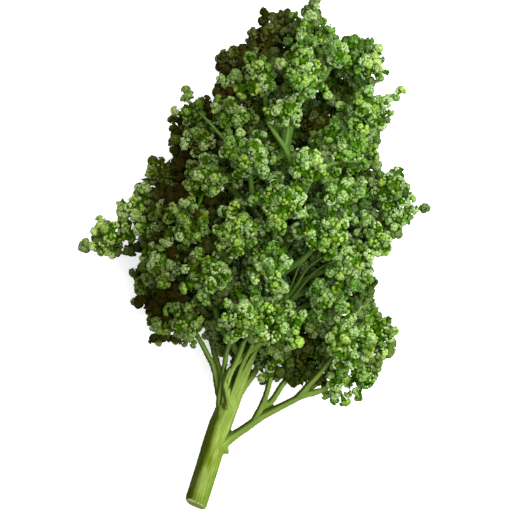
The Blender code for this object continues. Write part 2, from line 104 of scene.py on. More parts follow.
class Shade:
    # one output of a shader node; +, - and * on it add Math nodes
    def __init__(self, tree, socket=None):
        self.tree = tree
        self.socket = socket

    def make(self, kind, settings={}, values={}, output=0):
        node = self.tree.nodes.new(kind)
        for name, value in settings.items():
            if name == "stops":
                ramp = node.color_ramp
                while len(ramp.elements) < len(value):
                    ramp.elements.new(1)
                for stop, (place, colour) in zip(ramp.elements, value):
                    stop.position = place
                    stop.color = (*colour, 1)
            else:
                setattr(node, name, value)
        for name, value in values.items():
            if isinstance(value, Shade):
                self.tree.links.new(value.socket, node.inputs[name])
            else:
                node.inputs[name].default_value = value
        return Shade(self.tree, node.outputs[output] if node.outputs else None)

    def maths(self, operation, first, second):
        return self.make("ShaderNodeMath", {"operation": operation}, {0: first, 1: second})

    def __add__(self, other):
        return self.maths("ADD", self, other)

    def __sub__(self, other):
        return self.maths("SUBTRACT", self, other)

    def __rsub__(self, other):
        return self.maths("SUBTRACT", other, self)

    def __mul__(self, other):
        return self.maths("MULTIPLY", self, other)

    __radd__ = __add__
    __rmul__ = __mul__

    def between(self, low, high):
        # 0 below low, 1 above high, smooth in between
        return self.make("ShaderNodeMapRange", {"interpolation_type": "SMOOTHSTEP"},
                         {"Value": self, "From Min": low, "From Max": high})

    def attribute(self, name, output="Fac"):
        return self.make("ShaderNodeAttribute", {"attribute_name": name}, output=output)

    def noise(self, place, scale, detail=2.0):
        values = {"Vector": place, "Scale": scale, "Detail": detail}
        return self.make("ShaderNodeTexNoise", values=values, output="Fac")

    def mix(self, amount, low, high):
        # colours; 6 and 7 are the Mix node's colour sockets, and 2 its colour result
        low, high = [colour if isinstance(colour, Shade) else (*colour, 1) for colour in (low, high)]
        return self.make("ShaderNodeMix", {"data_type": "RGBA", "clamp_factor": True},
                         {0: amount, 6: low, 7: high}, output=2)

    def ramp(self, places, colours):
        return self.make("ShaderNodeValToRGB", {"stops": list(zip(places, colours))}, {"Fac": self})

    def bump(self, strength, distance):
        return self.make("ShaderNodeBump", values={"Strength": strength, "Distance": distance, "Height": self})

    def line(self, slope, start):
        return self * slope + start

    def atLeast(self, least):
        # least where it is 0, and 1 where it is 1
        return self.line(1.0 - least, least)


def blend(parts, shares):
    # the sum of the parts, each times its share
    total, *others = [part * share for part, share in zip(parts, shares)]
    for other in others:
        total = total + other
    return total


def axes(place):
    sockets = place.make("ShaderNodeSeparateXYZ", values={0: place}).socket.node.outputs
    return [Shade(place.tree, socket) for socket in sockets]


def newMaterial(name, surface):
    # surface is given a Shade to build with and returns the Principled BSDF's values
    material = bpy.data.materials.new(name)
    material.use_nodes = True
    material.node_tree.nodes.clear()
    shade = Shade(material.node_tree)
    shader = shade.make("ShaderNodeBsdfPrincipled", values=surface(shade))
    shade.make("ShaderNodeOutputMaterial", values={"Surface": shader})
    return material


# Bud material

budLook = {
    "deep": (0.015, 0.052, 0.001),
    "blueGreen": (0.056, 0.158, 0.006),
    "green": (0.117, 0.262, 0.008),
    "youngGreen": (0.192, 0.314, 0.022),
    "oliveShade": (0.086, 0.098, 0.004),  # painted shade on the left side, partly an olive hue of older growth
    "farLitGreen": (0.195, 0.275, 0.028),  # painted light: a lighter green on the leftmost spray
    "meal": (0.400, 0.465, 0.305),
    # painted shade on sprays in the shade of others and low down, a brown tint that also stands for older growth
    "brown": (0.046, 0.040, 0.003),
    # painted shade in the crevices, where the openness is low
    "hollowShade": (0.010, 0.016, 0.0004),
    "brownHollowShade": (0.018, 0.013, 0.0015),  # painted shade in the crevices on the left, in brown
    "patch": 70.0,  # noise scales of the paler and darker patches, and of wide ones
    "widePatch": 28.0,
    "toneMix": (0.3, 0.35, 0.5),  # shares of the bud, its cluster and the wide patches in the tone
    "toneStops": (0.2, 0.5, 0.85),  # tones of the deep, the blue and the plain green
    "youngMix": (1.1, 0.3, 0.17, 0.1),  # of the patches, the cluster, the cupped shape and the lower head
    "youngReach": (0.55, 1.15),
    "lowerReach": (0.0, 0.03),  # painted light: where the lighter, yellower lower part starts and is full, below the middle
    "valleyReach": (0.0, 0.7),  # painted shade between the keels, from the bottom up
    "valleyLight": 0.6,
    "mealShare": 0.8,
    "mealReach": (0.2, 1.0),  # up the keels
    "mealMix": (0.7, 0.6),  # of the cluster and the patches
    "mealyReach": (0.3, 0.8),
    "leastMealy": 0.2,
    "cuppedBare": 0.8,  # how bare of meal the cupped buds are
    "speckle": 780.0,  # noise scale
    "speckleReach": (0.3, 0.6),
    "brownBare": 0.6,  # how much of the painted brown shade the meal covers
    "openReach": (0.18, 0.66),  # painted shade: openness of the darkest places and of the fully lit
    # painted shade off the crests: how much light is left there
    "crestLight": 0.8,
    "sideSlant": 0.25,  # the painted shade on the left follows the head's slant
    "sideReach": (-0.014, 0.04),  # where the painted shade on the left starts and is full, in metres left of the middle
    "sideEnd": (0.041, 0.051),  # and where it ends
    "sideShade": 0.34,
    "sideDepth": 0.2,  # how much less open it looks there, which deepens the painted shade in its crevices
    "oliveShare": 0.25,
    "farShare": 0.55,
    "lowReach": (0.018, 0.036),  # painted shade: heights of the darkened underside and of the open upper side
    "lowLight": 0.4,
    "stemLight": 0.7,
    "budCells": 620.0,  # scale of the bud pattern on the surface under the clusters
    "cellCrest": 0.8,
    "cellShade": 1.3,
    "cellDepth": 4.0,
    "grain": 2600.0,  # noise scale of the mealy skin
    "grainDepth": 0.12 * mm,
    "grainStrength": 0.6,
    "roughness": (0.25, 0.66),  # more of it on the meal, and at least
}


def budSurface(shade):
    look = budLook
    place = shade.make("ShaderNodeTexCoord", output="Object")
    across, along, height = axes(place)
    left = across * -1.0 + along * look["sideSlant"]
    far = left.between(*look["sideEnd"])
    side = left.between(*look["sideReach"]) * (1.0 - far)  # painted shade on the left side, partly an older olive hue
    # painted light: the lower part of the head is lighter and yellower
    lower = (along * -1.0).between(*look["lowerReach"])
    patch = shade.noise(place, look["patch"])
    wide = shade.noise(place, look["widePatch"])
    cluster = shade.attribute("clusterTint")
    openness = shade.attribute("openness")
    cupped = shade.attribute("young")
    below = shade.attribute("below")  # 1 on the surface under the clusters
    cells = shade.make("ShaderNodeTexVoronoi", values={"Vector": place, "Scale": look["budCells"]})
    crest = shade.attribute("crest") + below * (look["cellCrest"] - cells)

    tone = blend((shade.attribute("budTint"), cluster, wide), look["toneMix"])
    green = tone.ramp(look["toneStops"], (look["deep"], look["blueGreen"], look["green"]))
    young = blend((patch, cluster, cupped, lower), look["youngMix"]).between(*look["youngReach"])
    green = shade.mix(young, green, look["youngGreen"])
    # painted shade: deeper green between the keels
    green = shade.mix(crest.between(*look["valleyReach"]).atLeast(look["valleyLight"]), look["deep"], green)
    # painted shade on the left side, partly an olive hue of older growth
    green = shade.mix(side * look["oliveShare"], green, look["oliveShade"])
    # painted light on the leftmost spray, where the painted shade of the left side ends
    green = shade.mix(far * look["farShare"], green, look["farLitGreen"])

    speckle = shade.noise(place, look["speckle"], 1.0).between(*look["speckleReach"])
    mealy = blend((cluster, patch), look["mealMix"]).between(*look["mealyReach"])
    mealy = mealy * (1.0 - cupped * look["cuppedBare"])
    meal = crest.between(*look["mealReach"]) * speckle * mealy.atLeast(look["leastMealy"]) * look["mealShare"]
    green = shade.mix(meal, green, look["meal"])

    # painted shade: the sunken surface under the clusters is deep green, darkest toward the edges of its bud cells
    under = shade.mix(cells * look["cellShade"], look["blueGreen"], look["deep"])
    # painted shade: the brown tint, which the meal partly covers
    brown = shade.attribute("brown") * (1.0 - meal * look["brownBare"])
    colour = shade.mix(brown, shade.mix(below, green, under), look["brown"])
    # painted shade: darker in crevices, off the crests, on the left side and low down
    shown = (openness - side * look["sideDepth"]).between(*look["openReach"]) * crest.atLeast(look["crestLight"])
    shown = shown * (1.0 - side * look["sideShade"]) * height.between(*look["lowReach"]).atLeast(look["lowLight"])
    colour = shade.mix(shown, shade.mix(side, look["hollowShade"], look["brownHollowShade"]), colour)
    # painted shade on the stems where they are less open
    stem = shade.mix(openness * look["stemLight"], look["deep"], look["blueGreen"])
    colour = shade.mix(shade.attribute("stem"), colour, stem)
    relief = shade.noise(place, look["grain"]) - below * cells * look["cellDepth"]
    return {"Base Color": colour, "Roughness": meal.line(*look["roughness"]), "Specular IOR Level": 0.0,
            "Normal": relief.bump(look["grainStrength"], look["grainDepth"])}


# Stalk material

stalkLook = {
    "shade": (0.018, 0.025, 0.001),  # painted shade on the left side
    "dark": (0.042, 0.062, 0.002),
    "green": (0.114, 0.168, 0.010),
    "pale": (0.255, 0.312, 0.085),
    "upper": (0.230, 0.360, 0.085),  # of the forking part, which is younger
    "branch": (0.085, 0.150, 0.022),  # of the low side branch
    # painted shade where the stalk and stems are enclosed
    "hidden": (0.026, 0.040, 0.001),
    "inner": (0.050, 0.106, 0.018),  # of the stems inside the head
    "pith": (0.130, 0.165, 0.025),
    "rim": (0.420, 0.450, 0.260),
    "ridges": 4.2,  # noise scales across the ridges, round the stalk
    "fineRidges": 12.6,
    "blotch": 120.0,
    "toneMix": (0.5, 0.35, 0.3),  # shares of the ridges, the fine ones and the blotches in the tone
    "toneStops": (0.42, 0.55, 0.72),  # tones of the dark, the plain and the pale green
    "upperReach": (-0.082, -0.058),  # where the younger part starts and is full, along the bunch
    "upperShare": 0.45,
    "upperRidges": (0.8, 0.4),  # how it follows the ridges, and its start
    "branchSlant": 0.5,
    "branchReach": (0.021, 0.028),  # across, less the slant's share of along, where it starts and is full
    "branchShare": 0.62,
    "branchStart": 1.3,
    "branchRidges": 0.6,
    "darkSide": (0.0, 0.6),  # where the painted shade on the left side starts and is full, from 0 on top to 1 at the side
    "darkShare": 0.85,
    "innerShare": 0.85,
    "inside": (0.2, 0.85),  # painted shade: openness inside the head, where it is darkest, and outside it
    "rimReach": (0.75, 1.0),  # of the cut's radius
    "rimBlotch": (0.8, 0.4),
    "reliefMix": (0.7, 0.3),  # of the ridges and the fine ones
    "ridgeDepth": 0.35 * mm,
    "ridgeStrength": 0.8,
    "roughness": (0.2, 0.5),  # more of it on the cut, and at least
}


def stalkSurface(shade):
    look = stalkLook
    place = shade.make("ShaderNodeTexCoord", output="Object")
    across, along, _ = axes(place)
    grain = shade.attribute("grain", "Vector")
    ridges = shade.noise(grain, look["ridges"], 3.0)
    fine = shade.noise(grain, look["fineRidges"])
    blotch = shade.noise(place, look["blotch"])
    cut = shade.attribute("cut")
    tone = blend((ridges, fine, blotch), look["toneMix"])
    colour = tone.ramp(look["toneStops"], (look["dark"], look["green"], look["pale"]))
    upper = along.between(*look["upperReach"]) * look["upperShare"]
    colour = shade.mix(upper * ridges.line(*look["upperRidges"]), colour, look["upper"])
    branch = (across - along * look["branchSlant"]).between(*look["branchReach"]) * look["branchShare"]
    colour = shade.mix(branch * (look["branchStart"] - ridges * look["branchRidges"]), colour, look["branch"])
    # painted shade on the left side of the stalk
    dark = (axes(grain)[0] * -1.0).between(*look["darkSide"]) * look["darkShare"]
    colour = shade.mix(dark, colour, look["shade"])
    colour = shade.mix(shade.attribute("inner") * look["innerShare"], colour, look["inner"])
    # painted shade where the stems are enclosed
    colour = shade.mix(shade.attribute("openness").between(*look["inside"]), look["hidden"], colour)
    rim = shade.attribute("rim").between(*look["rimReach"]) * blotch.line(*look["rimBlotch"])
    colour = shade.mix(cut, colour, shade.mix(rim, look["pith"], look["rim"]))
    relief = blend((ridges, fine), look["reliefMix"]) * (1.0 - cut)
    return {"Base Color": colour, "Roughness": cut.line(*look["roughness"]), "Specular IOR Level": 0.0,
            "Normal": relief.bump(look["ridgeStrength"], look["ridgeDepth"])}


# Table material

floorLook = {"dark": (0.87, 0.87, 0.87), "light": (0.90, 0.90, 0.90), "mottle": 6.0, "roughness": 0.9, "glow": 0.55}


def floorSurface(shade):
    mottle = shade.noise(shade.make("ShaderNodeTexCoord", output="Object"), floorLook["mottle"])
    return {"Base Color": shade.mix(mottle, floorLook["dark"], floorLook["light"]),
            "Roughness": floorLook["roughness"],
            "Emission Color": (1.0, 1.0, 1.0, 1.0), "Emission Strength": floorLook["glow"]}


budMaterial = newMaterial("bud_green_mealy", budSurface)
stalkMaterial = newMaterial("stalk_green_ridged", stalkSurface)
floorMaterial = newMaterial("pale_table", floorSurface)
print("materials made")


# Buds, the frames that set them round a cluster, and the neck that carries each cluster

budShape = {
    "radius": 1.02,  # mm, out to the five keels
    "valley": 0.70,  # radius between the keels, as a share
    "height": 0.66,
    "valleyHeight": 0.30,
    "root": -0.9,
    "rim": 0.62,  # of a young bud's cup, as a share
    "dip": 0.3,
    "apexCrest": 0.8,  # how much of a crest the apex is, as the keels and rims are 1
    "girthCrest": 0.35,
}
clusterLook = {
    # places of the buds, by ring: how many, and degrees they lean out
    "deep": {"copies": 2, "rings": [(1, 0), (5, 62)], "dome": 1.65, "size": 1.3, "young": 0.0},
    "mealy": {"copies": 5, "rings": [(1, 0), (5, 46), (6, 84)], "dome": 1.75, "size": 1.0, "young": 0.0},
    "young": {"copies": 2, "rings": [(1, 0), (5, 64)], "dome": 1.5, "size": 1.15, "young": 1.0},
    "spread": 0.36,  # share by which places and sizes vary
    "leanSpread": 40,  # degrees at a spread of 1
    "domeSpread": 0.5,
    "seed": 5,
}
neckLook = {"sides": 5, "mouth": 1.15, "mouthHeight": 0.25, "length": 2.8,  # mm
            "mouthYoung": 0.8, "footYoung": 0.5}
frameStore, budStore, neckStore = stores = [bpy.data.collections.new(name)
                                            for name in ("clusterFrames", "budShapes", "neckShape")]


def storedShape(store, name, shape):
    # a finished bmesh in mm becomes a smooth mesh in the store
    bmesh.ops.scale(shape, verts=shape.verts, vec=(mm, mm, mm))
    if shape.faces:
        bmesh.ops.recalc_face_normals(shape, faces=shape.faces)
    obj = bpy.data.objects.new(name, meshFrom(shape, name))
    obj.data.shade_smooth()
    store.objects.link(obj)
    return obj


def keeledBud():
    # a closed flower bud, whose five keels are pale with meal
    shape = bmesh.new()
    crest = shape.verts.layers.float.new("crest")
    apex = shape.verts.new((0, 0, budShape["height"]))
    root = shape.verts.new((0, 0, budShape["root"]))
    keels = circle(shape, 5, budShape["radius"], 0.0)
    valleys = circle(shape, 5, budShape["radius"] * budShape["valley"], budShape["valleyHeight"], 0.5)
    apex[crest] = budShape["apexCrest"]
    for i, (keel, valley) in enumerate(zip(keels, valleys)):
        after = keels[(i + 1) % 5]
        keel[crest] = 1.0
        shape.faces.new((apex, keel, valley))
        shape.faces.new((apex, valley, after))
        shape.faces.new((valley, keel, after))
        shape.faces.new((keel, root, after))
    storedShape(budStore, "bud0_keeled", shape)


def cuppedBud():
    # a young, still smooth one, with a rim round a dip; the painted shade off the crests leaves the rim paler
    shape = bmesh.new()
    crest = shape.verts.layers.float.new("crest")
    dip = shape.verts.new((0, 0, budShape["dip"]))
    root = shape.verts.new((0, 0, budShape["root"]))
    rim = circle(shape, 6, budShape["radius"] * budShape["rim"], budShape["height"])
    girth = circle(shape, 6, budShape["radius"], 0.0)
    for i in range(6):
        after = (i + 1) % 6
        rim[i][crest] = 1.0
        girth[i][crest] = budShape["girthCrest"]
        shape.faces.new((dip, rim[i], rim[after]))
        shape.faces.new((rim[i], girth[i], girth[after]))
        shape.faces.new((rim[i], girth[after], rim[after]))
        shape.faces.new((girth[i], root, girth[after]))
    storedShape(budStore, "bud1_cupped", shape)


def clusterFrame(name, look, rng):
    # only points: each holds one bud
    shape = bmesh.new()
    young = shape.verts.layers.float.new("young")
    size = shape.verts.layers.float.new("budSize")
    spread, leaning, doming = [clusterLook[name] for name in ("spread", "leanSpread", "domeSpread")]
    for count, tilt in look["rings"]:
        start = rng.uniform(0, math.tau)
        for i in range(count):
            turn = start + math.tau * (i + rng.uniform(-spread, spread)) / count
            lean = math.radians(tilt + rng.uniform(-leaning, leaning) * spread)
            dome = look["dome"] * (1 + rng.uniform(-doming, doming) * spread)
            flat = dome * math.sin(lean)
            vert = shape.verts.new((flat * math.cos(turn), flat * math.sin(turn), dome * math.cos(lean)))
            vert[young] = look["young"]
            vert[size] = look["size"] * (1 + rng.uniform(-spread, spread))
    storedShape(frameStore, name, shape)


def neck():
    shape = bmesh.new()
    young = shape.verts.layers.float.new("young")
    foot = shape.verts.new((0, 0, -neckLook["length"]))
    mouth = circle(shape, neckLook["sides"], neckLook["mouth"], neckLook["mouthHeight"])
    for i, vert in enumerate(mouth):
        vert[young] = neckLook["mouthYoung"]
        shape.faces.new((vert, mouth[(i + 1) % len(mouth)], foot))
    foot[young] = neckLook["footYoung"]
    shape.faces.new(mouth)
    bmesh.ops.triangulate(shape, faces=shape.faces)
    return storedShape(neckStore, "cluster_neck", shape)


frameRandom = random.Random(clusterLook["seed"])
for kind in ("deep", "mealy", "young"):  # in the order of their names, as the tree numbers them
    for i in range(clusterLook[kind]["copies"]):
        clusterFrame(f"{kind}Frame{i}", clusterLook[kind], frameRandom)
deepKinds = clusterLook["deep"]["copies"]
keeledBud()
cuppedBud()
neckObject = neck()


# The tree that covers a surface with clusters

treeLook = {
    "densest": 1e6,  # clusters on a square metre, before the spacing thins them out
    "rise": (-0.5, 1.0),  # of a cluster over the surface, as shares of the lift
    "marked": 0.5,  # cover above which a vertex carries a cluster
    "cupped": 0.5,  # youth above which a bud is cupped
    "seeds": {"size": 7, "spin": 3, "kind": 11, "tint": 13, "budSpin": 17, "budTint": 19},
}


def coverTree(name, material, onFaces):
    # clusters are spread over the faces, or set on the vertices that the cover attribute marks
    tree = bpy.data.node_groups.new(name, "GeometryNodeTree")
    sockets = {}
    seeds = treeLook["seeds"]
    for name, kind in (("Geometry", "Geometry"), ("Spacing", "Float"), ("Seed", "Int"), ("Lift", "Float"),
                       ("Smallest", "Float"), ("Largest", "Float"), ("Lean", "Float"),
                       ("First Kind", "Int"), ("Last Kind", "Int")):
        sockets[name] = tree.interface.new_socket(name=name, in_out="INPUT", socket_type="NodeSocket" + kind)
    tree.interface.new_socket(name="Geometry", in_out="OUTPUT", socket_type="NodeSocketGeometry")
    given = tree.nodes.new("NodeGroupInput").outputs

    def add(kind, settings={}, values={}):
        node = tree.nodes.new(kind)
        for name, value in settings.items():
            setattr(node, name, value)
        for name, value in values.items():
            if isinstance(value, bpy.types.NodeSocket):
                tree.links.new(value, node.inputs[name])
            else:
                node.inputs[name].default_value = value
        return node.outputs

    def named(name, kind="FLOAT"):
        return add("GeometryNodeInputNamedAttribute", {"data_type": kind}, {"Name": name})["Attribute"]

    def keep(geometry, name, value, kind="FLOAT", domain="POINT"):
        return add("GeometryNodeStoreNamedAttribute", {"data_type": kind, "domain": domain},
                   {"Geometry": geometry, "Name": name, "Value": value})[0]

    def anyValue(low, high, seed):
        return add("FunctionNodeRandomValue", {"data_type": "FLOAT"}, {2: low, 3: high, "Seed": seed})[1]

    def times(first, second):
        return add("ShaderNodeMath", {"operation": "MULTIPLY"}, {0: first, 1: second})[0]

    def above(value, limit):
        return add("FunctionNodeCompare", {"operation": "GREATER_THAN"}, {0: value, 1: limit})[0]

    def combined(*values):
        return add("ShaderNodeCombineXYZ", {}, dict(enumerate(values)))[0]

    def aligned(facing):
        return add("FunctionNodeAlignRotationToVector", {"axis": "Z"}, {"Vector": facing})[0]

    def rotated(turn, by):
        return add("FunctionNodeRotateRotation", {"rotation_space": "LOCAL"}, {"Rotation": turn, "Rotate By": by})[0]

    def collected(collection):
        return add("GeometryNodeCollectionInfo", {},
                   {"Collection": collection, "Separate Children": True, "Reset Children": True})["Instances"]

    def instanced(points, shapes, turn, size, kind=None):
        values = {"Points": points, "Instance": shapes, "Rotation": turn, "Scale": size}
        if kind is not None:
            values |= {"Pick Instance": True, "Instance Index": kind}
        return add("GeometryNodeInstanceOnPoints", {}, values)[0]

    cover = named("cover")
    if onFaces:
        made = add("GeometryNodeDistributePointsOnFaces", {"distribute_method": "POISSON"},
                   {"Mesh": given["Geometry"], "Distance Min": given["Spacing"], "Density Max": treeLook["densest"],
                    "Density Factor": cover, "Seed": given["Seed"]})
        points, facing, turn = made["Points"], made["Normal"], made["Rotation"]
    else:
        marked = above(cover, treeLook["marked"])
        points = add("GeometryNodeMeshToPoints", {}, {"Mesh": given["Geometry"], "Selection": marked})[0]
        facing = named("facing", "FLOAT_VECTOR")
        turn = aligned(facing)
    rise = times(anyValue(*treeLook["rise"], given["Seed"]), given["Lift"])
    offset = add("ShaderNodeVectorMath", {"operation": "SCALE"}, {0: facing, "Scale": rise})[0]
    raised = add("GeometryNodeSetPosition", {}, {"Geometry": points, "Offset": offset})["Geometry"]
    raised = keep(raised, "clusterTint", anyValue(0.0, 1.0, seeds["tint"]))
    anySize = anyValue(given["Smallest"], given["Largest"], seeds["size"])
    raised = keep(raised, "clusterSize", times(anySize, named("room")))
    raised = keep(raised, "clusterPlace", add("GeometryNodeInputPosition")[0], "FLOAT_VECTOR")
    raised = keep(keep(raised, "below", 0.0), "stem", 0.0)  # or the surface would pass its own on
    lean = times(given["Lean"], -1.0)
    low, high = combined(lean, lean, 0.0), combined(given["Lean"], given["Lean"], math.tau)
    spin = add("FunctionNodeRandomValue", {"data_type": "FLOAT_VECTOR"}, {0: low, 1: high, "Seed": seeds["spin"]})[0]
    turned = rotated(turn, spin)
    size = named("clusterSize")
    choice = add("FunctionNodeRandomValue", {"data_type": "INT"},
                 {4: given["First Kind"], 5: given["Last Kind"], "Seed": seeds["kind"]})[2]

    frames = instanced(raised, collected(frameStore), turned, size, choice)
    frames = add("GeometryNodeRealizeInstances", {}, {"Geometry": frames})[0]
    budPoints = add("GeometryNodeMeshToPoints", {}, {"Mesh": frames})[0]
    outward = add("ShaderNodeVectorMath", {"operation": "SUBTRACT"},
                  {0: add("GeometryNodeInputPosition")[0], 1: named("clusterPlace", "FLOAT_VECTOR")})[0]
    budTurn = rotated(aligned(outward), combined(0.0, 0.0, anyValue(0.0, math.tau, seeds["budSpin"])))
    budKind = above(named("young"), treeLook["cupped"])
    buds = instanced(budPoints, collected(budStore), budTurn, times(named("budSize"), size), budKind)
    buds = keep(buds, "budTint", anyValue(0.0, 1.0, seeds["budTint"]), domain="INSTANCE")
    neckShape = add("GeometryNodeObjectInfo", {}, {"Object": neckObject})["Geometry"]
    necks = instanced(raised, neckShape, turned, size)
    joined = add("GeometryNodeJoinGeometry", {}, {"Geometry": buds})
    for part in (necks, given["Geometry"]):
        tree.links.new(part, joined[0].node.inputs[0])
    real = add("GeometryNodeRealizeInstances", {}, {"Geometry": joined[0]})[0]
    coloured = add("GeometryNodeSetMaterial", {}, {"Geometry": real, "Material": material})[0]
    tree.links.new(coloured, tree.nodes.new("NodeGroupOutput").inputs[0])
    return tree, {name: socket.identifier for name, socket in sockets.items()}


spreadTree = coverTree("coverFacesWithClusters", budMaterial, True)
sprigTree = coverTree("setClustersOnSprigs", budMaterial, False)


def applyTree(obj, made, values):
    # the object's mesh with the covering made real, in place of its own
    tree, inputs = made
    modifier = obj.modifiers.new("cover", "NODES")
    modifier.node_group = tree
    for name, value in values.items():
        modifier[inputs[name]] = value
    plainMesh(obj)


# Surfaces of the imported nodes

longestEdge = 2.6 * mm  # of the sprays' surfaces, before they are split
welded = 0.001 * mm  # vertices nearer than this become one


def mergedCopy(node):
    shape = bmesh.new()
    shape.from_mesh(frame["nodes"][node].data)
    bmesh.ops.remove_doubles(shape, verts=shape.verts, dist=welded)
    if node != "stalk":
        long = [edge for edge in shape.edges if edge.calc_length() > longestEdge]
        bmesh.ops.subdivide_edges(shape, edges=long, cuts=1, use_grid_fill=True)
        bmesh.ops.triangulate(shape, faces=shape.faces)
    mesh = meshFrom(shape, node + "_base")
    mesh.materials.clear()
    return placed(node + "_base", mesh)


def wholeTree(objects):
    # one search tree over several meshes
    verts, faces = [], []
    for obj in objects:
        start = len(verts)
        verts += [vert.co.copy() for vert in obj.data.vertices]
        faces += [[start + i for i in face.vertices] for face in obj.data.polygons]
    return BVHTree.FromPolygons(verts, faces)


def spreadDirections(count):
    golden = math.pi * (3 - math.sqrt(5))
    for i in range(count):
        height = 1 - 2 * (i + 0.5) / count
        ring = math.sqrt(1 - height * height)
        yield Vector((ring * math.cos(golden * i), ring * math.sin(golden * i), height))


openLook = {
    "rays": 14,
    "reach": 9.0 * mm,
    "start": 0.4 * mm,  # of the rays, off the surface
    "inset": 0.1,  # the ray through a stem starts this share of that inside it
    "grazing": 0.15,  # rays flatter to the surface than this don't count
    "hidden": 0.2,  # openness up to which no cluster grows
    "shown": 0.45,  # and from which they stand as close as they may
    "thin": 2.6 * mm,  # a stem is thinner than this
    "thinCover": 0.3,
    "roomy": 5.5 * mm,  # clusters are smaller where it is thinner than this
    "leastRoom": 0.6,
}


def markOpenness(obj, tree):
    # how open each vertex lies, from 0 in a crevice to 1, and how thickly the buds cover it
    mesh = obj.data
    rays = list(spreadDirections(openLook["rays"]))
    openness = np.zeros(len(mesh.vertices))
    thickness = np.zeros(len(mesh.vertices))
    own = wholeTree([obj])
    for vert in mesh.vertices:
        through = own.ray_cast(vert.co - vert.normal * openLook["start"] * openLook["inset"], -vert.normal)
        thickness[vert.index] = through[3] or 0.0
        start = vert.co + vert.normal * openLook["start"]
        total = weight = 0.0
        for ray in rays:
            facing = ray.dot(vert.normal)
            if facing < openLook["grazing"]:
                continue
            hit = tree.ray_cast(start, ray, openLook["reach"])
            share = 1.0 if hit[0] is None else hit[3] / openLook["reach"]
            total += share * facing
            weight += facing
        openness[vert.index] = total / weight
    cover = np.clip((openness - openLook["hidden"]) / (openLook["shown"] - openLook["hidden"]), 0.0, 1.0)
    thin = thickness < openLook["thin"]
    cover[thin] *= openLook["thinCover"]
    room = np.clip(thickness / openLook["roomy"], openLook["leastRoom"], 1.0)
    for name, values in (("openness", openness), ("cover", cover), ("below", ~thin), ("stem", thin), ("room", room)):
        storeValues(mesh, name, values)
    return thickness


bases = {name: mergedCopy(name) for name in sorted(frame["nodes"])}
surroundings = wholeTree(bases.values())
stalkFace = sum(len(base.data.polygons) for name, base in bases.items() if name != "stalk")  # its first face there
print("surfaces copied")


# Sprays

sprayLook = {
    "spacing": 3.0 * mm,
    "lift": 1.0 * mm,
    "smallest": 0.8,
    "largest": 1.3,
    "lean": 0.45,  # radians
    "sink": 2.0 * mm,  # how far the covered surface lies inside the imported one
    "sinkShare": 0.26,  # and at most this share of the thickness
}

# Painted shade: how brown the sprays are that lie in the shade of the others, a tint that also stands for older
# growth
brownShadeSprays = {
    "spray_top_back": 0.85,
    "spray_back_high_left": 0.8,
    "spray_left_shade_high": 0.6,
    "spray_left_shade_mid": 0.2,
    "spray_left_shade_low": 0.4,
    "spray_behind_gap": 0.9,
    "spray_low_middle": 0.9,
    "spray_low_inner": 0.2,
    "spray_far_left": 0.2,  # only its inner heads
}
innerHeads = (-0.050, -0.043)  # from here to here across
brownShadeUnder = 0.45


# stores the share of painted brown shade on each vertex
def markBrownShade(mesh, share):
    storeValues(mesh, "brown", np.zeros(len(mesh.vertices)) + share)


triangles = 0
for number, (name, base) in enumerate(bases.items()):
    if name == "stalk":
        continue
    thickness = markOpenness(base, surroundings)
    normals = [vert.normal.copy() for vert in base.data.vertices]
    for vert, normal, depth in zip(base.data.vertices, normals, thickness):
        vert.co -= normal * min(sprayLook["sink"], sprayLook["sinkShare"] * depth)
    applyTree(base, spreadTree, {
        "Spacing": sprayLook["spacing"], "Seed": number, "Lift": sprayLook["lift"],
        "Smallest": sprayLook["smallest"], "Largest": sprayLook["largest"], "Lean": sprayLook["lean"],
        "First Kind": deepKinds, "Last Kind": len(frameStore.objects) - 1,
    })
    # painted shade as a brown tint, on the shaded sprays and on the underside
    brown = brownShadeUnder if "under" in name else brownShadeSprays.get(name, 0.0)
    if name == "spray_far_left":
        start, end = innerHeads
        brown *= np.clip([(vert.co.x - start) / (end - start) for vert in base.data.vertices], 0.0, 1.0)
    markBrownShade(base.data, brown)
    base.name = name + "_buds"
    base.data.name = base.name
    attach(base, "root")
    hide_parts(name)
    triangles += sum(len(face.vertices) - 2 for face in base.data.polygons)
print("sprays covered:", triangles, "triangles")


# Sprigs inside the head, on twigs from the nearest branch or spray, in the gaps between the sprays

gridLook = {
    "from": (-66, -58),  # in mm
    "to": (66, 101),
    "step": 1.9 * mm,
    "notch": 3.4 * mm,  # a notch narrower than twice this is closed
    "lowest": -0.046,  # not among the stems below this
    "depths": (5.0 * mm, 11.0 * mm),  # of the sprigs in a notch, under the surfaces beside it
    "floor": 4.0 * mm,
    "light": 0.7,  # their openness, which sets their painted shade
    "above": 100,  # mm, where the rays start that feel the head's height
    "around": 4,  # cells round a notch that count for the surfaces beside it
    "jitter": 0.5,  # of the places, as a share of the step
    "tilt": 0.5,  # of the clusters
    "room": (0.4, 1.5),  # shares of the nearest and the furthest of the other sprigs
}
sprigLook = {
    "step": 3.2 * mm,  # of the jittered grid of places
    "jitter": 0.45,
    "from": (-58.0, -50.0, 3.0),
    "to": (58.0, 94.0, 70.0),
    "nearest": 1.0 * mm,  # room between a sprig's middle and the nearest surface
    "furthest": 7.5 * mm,
    "rays": 16,
    "reach": 60.0 * mm,
    "enclosed": 0.7,  # share of the rays that have to meet the plant
    "enclosedGap": 0.5,  # the same in a gap that is open from above
    "canopy": 6.0 * mm,  # how far round a place the height of the head is felt
    "canopyRays": 8,
    "depth": 13.0 * mm,  # how far below it a sprig has to lie
    "twig": 0.35 * mm,
    "root": 1.5 * mm,  # how far a twig starts inside the surface that carries it
    "twigLight": 0.6,  # share of its cluster's openness, which sets its painted shade
    "smallest": 0.8,
    "largest": 1.15,
    "gapHeight": 0.5,  # in a gap they stay below this share of the height of the head
    "brown": 0.7,  # how much painted brown shade the lowest get
    "most": 2700,
    "seed": 21,
}
